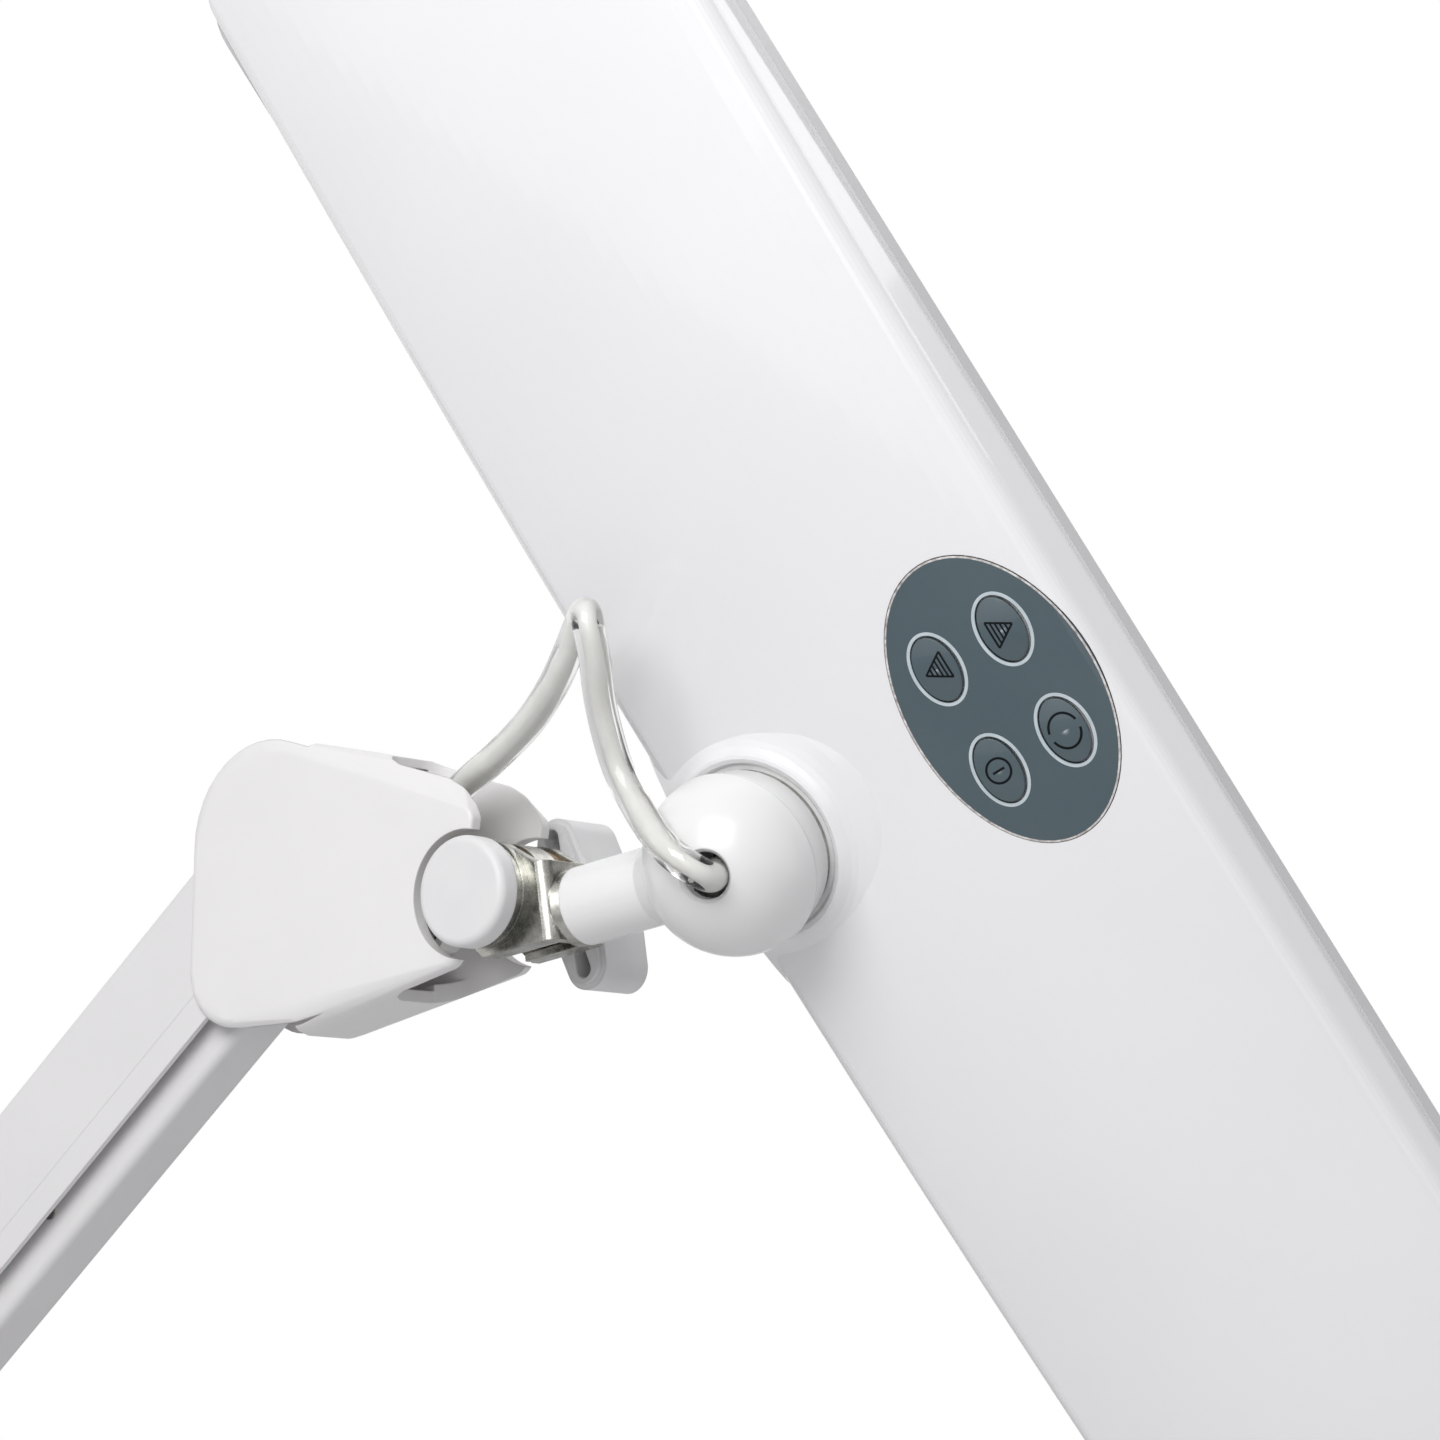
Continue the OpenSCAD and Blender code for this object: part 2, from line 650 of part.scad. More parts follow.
// Route from the knuckle's clip over the tilt joint into the ball, about the tilt bolt
cable_route = [[-33, 0, 16.6], [-27, 0, 17], [-21, 0, 18.7], [-16, 0, 21.2], [-11.5, -0.5, 24.1],
    [-2.7, -2, 28.9], [8.2, -6, 34.5], [19.5, -12.3, 40.6], [27, -16.8, 46.4], [31.3, -19, 51],
    [35.3, -21.5, 54], [38.9, -24.8, 54], [40.3, -25.6, 50.1], [40.3, -24, 44.1], [39.1, -21.5, 36.9],
    [39.2, -19.6, 29.3], [41.4, -18.2, 20.3], [46.2, -18.5, 12], [53.4, -21.8, 5.6], [59, -23.2, 1.4],
    [62.6, -21, -1.4], [62.4, -17, -2], [60.2, -13, -0.8], [58.2, -8.5, 0.6]];
function unit(v) = v / norm(v);
// Point at fraction f of the smooth curve between route points i and i + 1
function curve_point(p, i, f) =
    let (a = p[max(i - 1, 0)], b = p[i], c = p[i + 1], d = p[min(i + 2, len(p) - 1)])
    0.5 * (2 * b + (c - a) * f + (2 * a - 5 * b + 4 * c - d) * f * f + (3 * b - a - 3 * c + d) * f * f * f);
function smooth(p, steps) = concat(
    [for (i = [0:len(p) - 2]) for (k = [0:steps - 1]) curve_point(p, i, k / steps)], [p[len(p) - 1]]);
function tangents(p) = [for (i = [0:len(p) - 1]) unit(p[min(i + 1, len(p) - 1)] - p[max(i - 1, 0)])];
function square_to(v, t) = unit(v - (v * t) * t);
module tube(points, r, sides) {
    t = tangents(points);
    count = len(points);
    normals = [for (i = 0, n = square_to([0, 1, 0], t[0]); i < count;
        i = i + 1, n = i < count ? square_to(n, t[i]) : n) n];
    rings = [for (i = [0:count - 1]) for (k = [0:sides - 1])
        points[i] + r * (cos(k * 360 / sides) * normals[i] + sin(k * 360 / sides) * cross(t[i], normals[i]))];
    start = len(rings);
    polyhedron(concat(rings, [points[0], points[count - 1]]), concat(
        [for (i = [0:count - 2]) for (k = [0:sides - 1]) let (m = (k + 1) % sides)
            [i * sides + k, (i + 1) * sides + k, i * sides + m]],
        [for (i = [0:count - 2]) for (k = [0:sides - 1]) let (m = (k + 1) % sides)
            [i * sides + m, (i + 1) * sides + k, (i + 1) * sides + m]],
        [for (k = [0:sides - 1]) [start, k, (k + 1) % sides]],
        [for (k = [0:sides - 1])
            [start + 1, (count - 1) * sides + (k + 1) % sides, (count - 1) * sides + k]]));
}
module jumper_cable() color("lightgray") at_bolt() tube(smooth(cable_route, 2), cable_r, cable_sides);

// Clip on the tongue that holds the cable's end
clip_x = -35;
clip_len = 9;
module cable_clip() color("dimgray") at_bolt() difference() {
    union() {
        translate([clip_x, 0, cable_route[0].z]) rotate([0, 90, 0]) cylinder(r = cable_r + 1.5, h = clip_len);
        translate([clip_x, -tongue_half, 8]) cube([clip_len, tongue_t, 7]);
    }
    translate([clip_x + 1.5, 0, cable_route[0].z]) rotate([0, 88, 0])
        cylinder(r = cable_r + 0.3, h = clip_len);
    translate(-flat_to_space(bolt)) slab(-knuckle_w, knuckle_w) link(bolt, 10.25, head_in, 7.55);
}

// ---- Tilt joint ----

module tilt_frame() at_bolt() rotate([0, -stem_angle, 0]) children();
// Shorthand for a washer on the bolt between y0 and y1
module washer(r, y0, y1, bore = bolt_d / 2 + run_fit) difference() {
    bar([0, 0], r, y0, y1);
    bar([0, 0], bore, y0 - 1, y1 + 1);
}

module friction_washers() color("tan") at_bolt()
    both_sides() washer(9.6, tongue_half, yoke_in - run_fit);

web_top = 3.6;
web_low = -12;
fold_r = 2.6;
stem_seat = yoke_reach + yoke_t + 2.1;
// Side view of one ear with its arm to the front fold
module ear_profile() {
    circle(ear_r);
    polygon([[-6.5, -8.1], [-3, web_low], [yoke_reach, web_low], [yoke_reach, web_top],
        ear_r * along(62), [0, 0]]);
}
module tilt_yoke() color("silver") tilt_frame() difference() {
    union() {
        both_sides() slab(yoke_in, yoke_out) ear_profile();
        // Front web with rounded folds
        translate([0, 0, web_low]) linear_extrude(web_top - web_low) difference() {
            union() {
                translate([yoke_reach - 0.01, -yoke_out + fold_r]) square([yoke_t, 2 * (yoke_out - fold_r)]);
                for (side = [-1, 1]) translate([yoke_reach + yoke_t - fold_r, side * (yoke_out - fold_r)])
                    circle(fold_r);
                translate([yoke_reach - fold_r, -yoke_out]) square([yoke_t, 2 * yoke_out]);
            }
            translate([-5, -yoke_in]) square([yoke_reach + 5, 2 * yoke_in]);
        }
        // Stiffening flanges turned in along the lower edge
        both_sides() slab(yoke_in - 2.4, yoke_in + 0.2)
            translate([-2.5, web_low]) square([yoke_reach + 3, 1.6]);
        // Formed collar that seats the stem
        translate([yoke_reach + yoke_t - 0.4, 0, -stem_drop]) rotate([0, 90, 0])
            cylinder(r1 = stem_d / 2 - 0.1, r2 = stem_d / 2 - 1, h = stem_seat - yoke_reach - yoke_t + 0.4);
    }
    translate([0, 0, -stem_drop]) rotate([0, 90, 0]) cylinder(r = stem_screw_r, h = 40);
    bar([0, 0], bolt_d / 2, -knuckle_w, knuckle_w);
}

bolt_head_y = -yoke_out - 3;
cap_y = -yoke_out - 3.6;
module tilt_bolt() color("silver") at_bolt() {
    bar([0, 0], bolt_d / 2, bolt_head_y, yoke_out + 17);
    bar([0, 0], bolt_d / 2 + 2.6, bolt_head_y - 3.2, bolt_head_y);
}

cap_edge = 1.6;
module bolt_cap() color("white") at_bolt() rotate([90, 0, 0]) translate([0, 0, -cap_y]) difference() {
    rotate_extrude() {
        square([cap_d / 2 - cap_edge, cap_t]);
        square([cap_d / 2, cap_t - cap_edge]);
        translate([cap_d / 2 - cap_edge, cap_t - cap_edge]) circle(cap_edge, $fn = 48);
    }
    translate([0, 0, -1]) cylinder(r = bolt_d / 2 + 2.6, h = cap_t - 0.6);
}

module bolt_washers() color("silver") at_bolt() {
    washer(cap_d / 2 - 0.3, -yoke_out - 1.5, -yoke_out, bolt_d / 2);
    washer(cap_d / 2 - 0.6, -yoke_out - 3, -yoke_out - 1.55, bolt_d / 2);
}

knob_y = yoke_out + 1.4;
module knob_washer() color("silver") at_bolt() washer(8.2, yoke_out, knob_y - run_fit, bolt_d / 2);

wing_lean = 18;
hub_knob_r = 8;
wing_y = knob_y + 6.9;
tip_r = 5;
insert_r = 6;
insert_h = 8;
module wing_tips(grow) for (side = [-1, 1])
    link([0, 0], 7 + grow, side * [0, wing_span / 2 - tip_r], tip_r + grow);
module wing_knob() color("gainsboro") at_bolt() rotate([0, -wing_lean, 0]) difference() {
    union() {
        rotate([-90, 0, 0]) translate([0, 0, knob_y]) cylinder(r1 = hub_knob_r - 0.6, r2 = hub_knob_r, h = 2);
        bar([0, 0], hub_knob_r, knob_y + 1.9, knob_y + knob_h - 4);
        slab(wing_y, knob_y + knob_h - 1.2) wing_tips(0);
        slab(wing_y + 1, knob_y + knob_h) wing_tips(-1.2);
        slab(wing_y - 1.2, wing_y) wing_tips(-1.2);
    }
    // Moulded pocket in the near face of each wing
    for (side = [-1, 1]) slab(wing_y - 5, wing_y + 8)
        link(side * [0, hub_knob_r + 2.2], 1.4, side * [0, wing_span / 2 - tip_r + 1], 1.8);
    bar([0, 0], bolt_d / 2 + 0.2, 0, knob_y + knob_h - 2.4);
    bar([0, 0], insert_r, knob_y - 1, knob_y + insert_h, $fn = 6);
}
module knob_insert() color("silver") at_bolt() rotate([0, -wing_lean, 0]) difference() {
    bar([0, 0], insert_r, knob_y, knob_y + insert_h, $fn = 6);
    bar([0, 0], bolt_d / 2 + run_fit, 0, knob_y + insert_h + 1);
}

// ---- Ball, stem and swivel ----

module stem_frame() tilt_frame() translate([0, 0, -stem_drop]) rotate([stem_twist, 0, 0]) children();
// Ball's frame: Z out of the head along the swivel axis, X along the stem
module ball_frame() stem_frame() translate([ball_reach, 0, 0]) rotate([90, 0, 0]) children();
module seat_frame() ball_frame() rotate([0, 0, swivel_rest]) children();

ball_wall = 3.2;
stem_screw_r = 3;
hole_lean = 17;
hole_turn = 25;
module cable_hole_frame() rotate([0, 0, hole_turn]) rotate([0, hole_lean, 0]) children();
module ball_stem() color("white") ball_frame() difference() {
    union() {
        intersection() {
            sphere(r = ball_r, $fn = 120);
            translate([0, 0, 50]) cube(100, center = true);
        }
        translate([0, 0, -1.2]) cylinder(r = ball_r - 0.45, h = 1.3);
        translate([0, 0, -skirt_h]) cylinder(r1 = ball_r - 1.8, r2 = ball_r - 0.45, h = skirt_h - 1.1);
        rotate([0, -90, 0]) cylinder(d = stem_d, h = ball_reach - stem_seat);
        // Fillet where the stem meets the ball
        rotate([0, -90, 0]) translate([0, 0, ball_r - 2.5]) cylinder(d1 = stem_d + 3, d2 = stem_d, h = 3.5);
    }
    intersection() {
        sphere(r = ball_r - ball_wall, $fn = 120);
        translate([0, 0, 50 - skirt_h + 3]) cube(100, center = true);
    }
    // The stem stays above the seat's rim
    translate([0, 0, -skirt_h - 20]) cylinder(r = 21.5, h = 20);
    translate([0, 0, -skirt_h - 1]) cylinder(r = tube_r, h = 8);
    rotate([0, -90, 0]) translate([0, 0, ball_r - 8]) cylinder(r = stem_screw_r, h = ball_reach);
    cable_hole_frame() cylinder(d = cable_hole_d, h = 40);
    cable_hole_frame() translate([0, 0, ball_r - 1.6])
        cylinder(d1 = cable_hole_d, d2 = cable_hole_d + 2.4, h = 1.6);
}

// Screw through the yoke's web and the stem into the ball
module stem_screw() color("silver") tilt_frame() translate([0, 0, -stem_drop]) rotate([0, 90, 0]) {
    translate([0, 0, yoke_reach]) cylinder(r = stem_screw_r, h = ball_reach - yoke_reach - ball_r + 6);
    translate([0, 0, yoke_reach - 1.8]) cylinder(r = 4.6, h = 1.8, $fn = 6);
}

// Threaded tube fixed in the ball, on which the head turns
seat_floor = -8.6;
washer_t = 1.1;
tube_len = 11.4;
module swivel_tube() color("silver") ball_frame() difference() {
    translate([0, 0, -skirt_h - tube_len]) cylinder(r = tube_r, h = tube_len + 4.6);
    translate([0, 0, -skirt_h - tube_len - 1]) cylinder(r = tube_bore, h = tube_len + 8);
}
module swivel_washer() color("silver") ball_frame() translate([0, 0, seat_floor + run_fit]) difference() {
    cylinder(r = washer_r, h = -skirt_h - seat_floor - 2 * run_fit);
    translate([0, 0, -1]) cylinder(r = tube_r + run_fit, h = 5);
}
nut_t = 4;
nut_z = seat_floor - cover_t - 3 - nut_t - run_fit;
module swivel_nut() color("silver") ball_frame() translate([0, 0, nut_z]) difference() {
    cylinder(r = 10.4, h = nut_t, $fn = 6);
    translate([0, 0, -1]) cylinder(r = tube_r, h = nut_t + 2);
}

// ---- Head ----

// Head's frame: X across, Y along, Z out of its back, origin in the middle of the bezel's underside
module head_frame() seat_frame() translate([0, 0, -seat_drop]) rotate([0, seat_tilt, 0])
    translate([seat_offset, 0, -seat_height]) children();
// The seat's frame as seen from the head's frame
module seat_in_head() translate([-seat_offset, 0, seat_height]) rotate([0, -seat_tilt, 0])
    translate([0, 0, seat_drop]) children();

// A crowned section: half width, crown radius, crown height, edge radius. The walls lean in by the
// draft, and the edge rounding touches both the wall and the crown.
edge_steps = 6;
crown_steps = 12;
module crowned(half, big, top, edge) {
    low = -30;
    slope = tan(wall_draft);
    wall_at_low = half - (low - bezel_h) * slope;
    // Centre of the edge rounding: one edge radius inside the wall, big - edge from the crown's centre
    offset_half = half - edge / cos(wall_draft) + (bezel_h - top + big) * slope;
    a = 1 + slope * slope;
    b = -2 * offset_half * slope;
    c = offset_half * offset_half - pow(big - edge, 2);
    rise = (-b + sqrt(b * b - 4 * a * c)) / (2 * a);
    crown_centre = [0, top - big];
    centre = crown_centre + [offset_half - slope * rise, rise];
    reach = atan2(centre.x, rise);
    right = concat(
        [[wall_at_low, low]],
        [for (k = [0:edge_steps])
            centre + edge * along(wall_draft + k * (90 - reach - wall_draft) / edge_steps)],
        [for (k = [1:crown_steps]) crown_centre + big * along(90 - reach * (1 - k / crown_steps))]);
    polygon(concat(right, [for (k = [len(right) - 2:-1:0]) [-right[k].x, right[k].y]]));
}

module plan(inset) {
    half = cover_half - inset;
    half_len = cover_half_len - inset;
    r = plan_r - inset;
    square([2 * half, 2 * (half_len - r)], center = true);
    square([2 * (half - r), 2 * half_len], center = true);
    for (x = [-1, 1]) for (y = [-1, 1]) translate([x * (half - r), y * (half_len - r)]) circle(r);
}

// Crown over the whole head, set in by inset: one section swept along the lengthwise arch
module crown_form(inset) {
    sweep = 2 * asin(head_len / 2 / (arch_r - 60)) + 1;
    translate([0, 0, head_h - arch_r]) rotate([0, -90, 0]) rotate([0, 0, -sweep / 2])
        rotate_extrude(angle = sweep, $fn = 1440)
            translate([arch_r - head_h, 0]) rotate(-90)
                crowned(cover_half - inset, crown_r, head_h - inset, edge_r - inset / 2);
}
// The cover's form: the crown with rounded ends and rounded corners in plan
module cover_form(inset) intersection() {
    crown_form(inset);
    rotate([90, 0, 90]) translate([0, 0, -head_w]) linear_extrude(2 * head_w)
        crowned(cover_half_len - inset, arch_r, head_h - inset + end_rise, edge_r + end_extra - inset / 2);
    linear_extrude(60) plan(inset);
}
end_rise = 0.3;
end_extra = 3;

rim_r = 18;
module seat_rim() {
    // Flare up from the crown to the rim round the ball's washer
    rotate_extrude() polygon([[0, -18], [29, -18], [29, -12], [27, -11.1], [25, -10.35], [23, -9.75],
        [21.4, -9.2], [20.2, -8.6], [19.2, -7.95], [18.6, -7.62], [rim_r, -7.5],
        [washer_r + 1.6, -7.9], [washer_r + 0.9, seat_floor], [0, seat_floor]]);
}
module oval(len, wide) polygon([for (a = [0:5:355]) [wide / 2 * cos(a), len / 2 * sin(a)]]);
module keypad_prism(grow, low, high) translate([keypad_offset, 0, low]) linear_extrude(high - low)
    oval(keypad_len + 2 * grow, keypad_w + 2 * grow);

module head_cover() color("white") head_frame() difference() {
    union() {
        intersection() {
            cover_form(0);
            translate([0, 0, 30 + bezel_h]) cube([2 * head_w, 2 * head_len, 60], center = true);
        }
        intersection() {
            seat_in_head() seat_rim();
            linear_extrude(60) plan(1);
        }
    }
    difference() {
        cover_form(cover_t);
        // Boss under the seat and floor under the keypad's pocket stay solid
        seat_in_head() translate([0, 0, seat_floor - cover_t - 3]) cylinder(r = 14, h = 20);
        difference() {
            keypad_prism(2, 0, 40);
            crown_form(pocket_t + 1.4);
        }
        for (p = cover_screw_points) translate([p.x, p.y, 0]) cylinder(r = 3.6, h = 40);
    }
    // Pocket for the keypad
    difference() {
        keypad_prism(slide_gap / 2, 5, 40);
        crown_form(pocket_t);
    }
    // Way for the keypad's tail
    translate([keypad_offset, 0, 0]) cylinder(r = 4, h = 40);
    seat_in_head() translate([0, 0, -40]) cylinder(r = tube_r + run_fit, h = 60);
    for (p = cover_screw_points) translate([p.x, p.y, 0]) cylinder(r = 1.3, h = cover_screw_reach + 0.5);
}

// Screw posts stand inside the long walls
cover_screw_reach = bezel_h + 3;
cover_screw_points = [for (x = [-1, 1]) for (y = [-1, 0, 1])
    [x * (cover_half - 5.5), y * (head_len / 2 - 22) + (y == 0 ? 60 : 0)]];

bezel_r = plan_r + cover_step;
window_inset = 11;
lip = 1.2;
module bezel_plan(inset) {
    half = head_w / 2 - inset;
    half_len = head_len / 2 - inset;
    r = max(bezel_r - inset, 2);
    square([2 * half, 2 * (half_len - r)], center = true);
    square([2 * (half - r), 2 * half_len], center = true);
    for (x = [-1, 1]) for (y = [-1, 1]) translate([x * (half - r), y * (half_len - r)]) circle(r);
}
module head_bezel() color("white") head_frame() difference() {
    linear_extrude(bezel_h) bezel_plan(0);
    translate([0, 0, -1]) linear_extrude(bezel_h + 2) bezel_plan(window_inset + 1.5);
    translate([0, 0, lip]) linear_extrude(bezel_h) bezel_plan(window_inset);
    for (p = cover_screw_points) translate([p.x, p.y, -1]) {
        cylinder(r = 1.6, h = bezel_h + 2);
        cylinder(r = 3.1, h = 1 + 1.8);
    }
}
module light_diffuser() color("lightyellow") head_frame()
    translate([0, 0, lip]) linear_extrude(2) bezel_plan(window_inset + 0.2);

// Screws from below through the bezel into posts of the cover
module cover_screws() color("silver") head_frame() for (p = cover_screw_points) translate(p) difference() {
    union() {
        translate([0, 0, 0.4]) cylinder(r = 2.9, h = 1.4);
        translate([0, 0, 1.7]) cylinder(r = 1.3, h = cover_screw_reach - 1.7);
    }
    translate([0, 0, -1]) cylinder(r = 1.1, h = 2.2, $fn = 6);
}

// Sheet metal tray on the bezel: it holds the boards with the LEDs and spreads their heat
tray_inset = 9.9;
tray_h = 3.6;
tray_t = 1.2;
module led_tray() color("silver") head_frame() translate([0, 0, bezel_h]) difference() {
    linear_extrude(tray_h) bezel_plan(tray_inset);
    translate([0, 0, -1]) linear_extrude(tray_h - tray_t + 1) bezel_plan(tray_inset + tray_t);
}

board_t = 1.6;
board_w = 14;
board_top = bezel_h + tray_h - tray_t;
led_count = 14;
led_size = 3.5;
led_inset = 42;
led_pitch = (head_len - 2 * led_inset) / (led_count - 1);
module led_boards() color("white") head_frame() translate([0, 0, board_top - board_t]) for (side = [-1, 1]) {
    translate([side * 20 - board_w / 2, -head_len / 2 + 30, 0]) cube([board_w, head_len - 60, board_t]);
    for (k = [0:led_count - 1])
        translate([side * 20, -head_len / 2 + led_inset + k * led_pitch, -0.4])
            cube([led_size, led_size, 1], center = true);
}
module driver_board() color("seagreen") head_frame() translate([-11, -head_len / 2 + 60, bezel_h + tray_h]) {
    cube([22, 70, board_t]);
    translate([5, 12, board_t]) cube([12, 12, 5]);
    for (y = [34, 50]) translate([11, y, board_t - 0.1]) cylinder(r = 4, h = 7);
}

// Face of the keypad: a plate of even thickness that follows the crown
key_points = [for (y = [1, -1]) for (x = [-1, 1])
    [keypad_offset + x * key_pitch_w / 2, y * key_pitch_len / 2]];
panel_proud = 0.1;
module keypad_panel() color("slategray") head_frame() difference() {
    intersection() {
        keypad_prism(0, 5, 40);
        crown_form(-panel_proud);
    }
    crown_form(pocket_t);
    for (p = key_points) translate([p.x, p.y, 0]) linear_extrude(40)
        oval(key_len + 2 * slide_gap, key_w + 2 * slide_gap);
}
// Board under the pocket's floor, as steep as the crown above it
keypad_board_w = 18;
keypad_board_x = keypad_offset - 3;
keypad_board_top = head_h - pocket_t - 1.9 - keypad_board_x * keypad_board_x / crown_r / 2;
module keypad_board() color("seagreen") head_frame()
    translate([keypad_board_x, 0, keypad_board_top]) rotate([0, asin(keypad_board_x / crown_r), 0])
        translate([-keypad_board_w / 2, -24, -board_t]) cube([keypad_board_w, 48, board_t]);

key_rise = 1;
key_dome_r = 34;
// One domed key: it stands a little above the panel and goes down to the pocket's floor
module key(index) {
    p = key_points[index];
    lean = -asin(p.x / crown_r);
    crown_z = head_h - crown_r + sqrt(crown_r * crown_r - p.x * p.x);
    head_frame() translate([p.x, p.y, crown_z]) rotate([0, -lean, 0]) intersection() {
        translate([0, 0, key_rise - key_dome_r]) sphere(r = key_dome_r, $fn = 240);
        translate([0, 0, -pocket_t + 0.55]) linear_extrude(5) oval(key_len, key_w);
    }
}
module dimmer_key() color("lightslategray") key(0);
module brighter_key() color("lightslategray") key(1);
module power_key() color("lightslategray") key(2);
module colour_key() color("lightslategray") key(3);

clamp_frame();
jaw_pad();
clamp_screw();
clamp_handle();
pressure_pad();
post_bush();
base_post();
base_bracket();
base_housing();
supply_gland();
base_pins();
lower_outer_channel();
lower_inner_channel();
lower_spring();
lower_spring_pins();
elbow_bracket();
elbow_housing();
elbow_pins();
upper_outer_channel();
upper_inner_channel();
upper_spring();
upper_spring_pins();
head_bracket();
head_housing();
head_pins();
base_screws();
elbow_screws();
knuckle_screws();
cable_clip();
jumper_cable();
friction_washers();
tilt_yoke();
tilt_bolt();
bolt_cap();
bolt_washers();
knob_washer();
wing_knob();
knob_insert();
ball_stem();
stem_screw();
swivel_tube();
swivel_washer();
swivel_nut();
head_cover();
head_bezel();
light_diffuser();
led_tray();
led_boards();
driver_board();
keypad_panel();
keypad_board();
brighter_key();
dimmer_key();
colour_key();
power_key();
cover_screws();
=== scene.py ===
# Looks of the folding LED desk lamp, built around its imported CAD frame. Metres, +Z up.
import json
import math

import bmesh
import bpy
from mathutils import Matrix, Vector


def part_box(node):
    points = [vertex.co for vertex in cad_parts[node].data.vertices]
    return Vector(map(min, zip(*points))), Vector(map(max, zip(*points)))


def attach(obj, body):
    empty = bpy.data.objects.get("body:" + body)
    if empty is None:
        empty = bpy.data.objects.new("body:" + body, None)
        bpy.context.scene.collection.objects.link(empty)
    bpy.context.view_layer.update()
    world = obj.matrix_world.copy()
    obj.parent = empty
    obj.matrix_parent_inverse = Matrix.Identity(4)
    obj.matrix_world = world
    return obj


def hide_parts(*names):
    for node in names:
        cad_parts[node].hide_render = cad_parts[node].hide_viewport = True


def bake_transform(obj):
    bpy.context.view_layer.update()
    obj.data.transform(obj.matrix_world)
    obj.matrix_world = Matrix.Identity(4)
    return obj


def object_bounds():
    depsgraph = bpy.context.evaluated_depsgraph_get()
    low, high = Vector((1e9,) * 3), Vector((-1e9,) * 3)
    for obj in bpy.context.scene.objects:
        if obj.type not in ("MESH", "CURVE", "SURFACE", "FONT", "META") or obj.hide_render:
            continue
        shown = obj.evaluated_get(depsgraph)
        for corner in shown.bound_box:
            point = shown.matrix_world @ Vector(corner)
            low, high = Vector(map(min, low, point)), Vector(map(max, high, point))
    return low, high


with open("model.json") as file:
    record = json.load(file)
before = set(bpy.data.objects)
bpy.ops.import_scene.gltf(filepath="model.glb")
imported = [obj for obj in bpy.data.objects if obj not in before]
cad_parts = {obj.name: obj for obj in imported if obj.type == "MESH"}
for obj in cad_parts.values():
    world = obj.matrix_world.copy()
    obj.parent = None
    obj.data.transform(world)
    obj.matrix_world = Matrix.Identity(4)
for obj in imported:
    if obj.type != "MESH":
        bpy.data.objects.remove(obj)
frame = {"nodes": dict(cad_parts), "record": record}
cad_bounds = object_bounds()
nodes = frame["nodes"]
record = frame["record"]
MM = 0.001

# ---- Places worked out from the frame ----


def centre(node):
    low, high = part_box(node)
    return (low + high) / 2


BOLT = Vector((centre("tilt_bolt").x, 0, centre("tilt_bolt").z))

# Head's frame, in the same steps as the part's source: X across, Y along, Z out of its back
STEM_ANGLE = 9
STEM_TWIST = 25
STEM_DROP = 5.5
BALL_REACH = 54.5
SWIVEL_REST = 12
SEAT_TILT = 11.2
SEAT_DROP = 9
SEAT_OFFSET = 33
SEAT_HEIGHT = 20


def turn(axis, degrees):
    return Matrix.Rotation(math.radians(degrees), 4, axis)


def shift(x, y, z):
    return Matrix.Translation(Vector((x, y, z)) * MM)


HEAD = (
    Matrix.Translation(BOLT)
    @ turn("Y", -STEM_ANGLE)
    @ shift(0, 0, -STEM_DROP)
    @ turn("X", STEM_TWIST)
    @ shift(BALL_REACH, 0, 0)
    @ turn("X", 90)
    @ turn("Z", SWIVEL_REST)
    @ shift(0, 0, -SEAT_DROP)
    @ turn("Y", SEAT_TILT)
    @ shift(SEAT_OFFSET, 0, -SEAT_HEIGHT)
)

# Head and keypad sizes in millimetres, as in the part's source
HEAD_H = 23.2
CROWN_R = 170
ARCH_R = 2000
PANEL_PROUD = 0.1
KEYPAD_LEN = 57.8
KEYPAD_W = 37
KEYPAD_X = 25.5
KEY_LEN = 12.8
KEY_W = 8.0
KEY_PITCH_LEN = 21.8
KEY_PITCH_W = 14.4
KEY_GAP = 0.3
KEY_RISE = 1
KEY_DOME_R = 34
INK = 0.03


# ---- Materials ----

CLOUD_DETAIL = 3
GRAIN_DETAIL = 4
NOISE_ROUGHNESS = 0.55
NOISE_LOW = 0.3
NOISE_HIGH = 0.7
GRAIN_DEPTH = 0.05 * MM
BEVEL_SAMPLES = 4

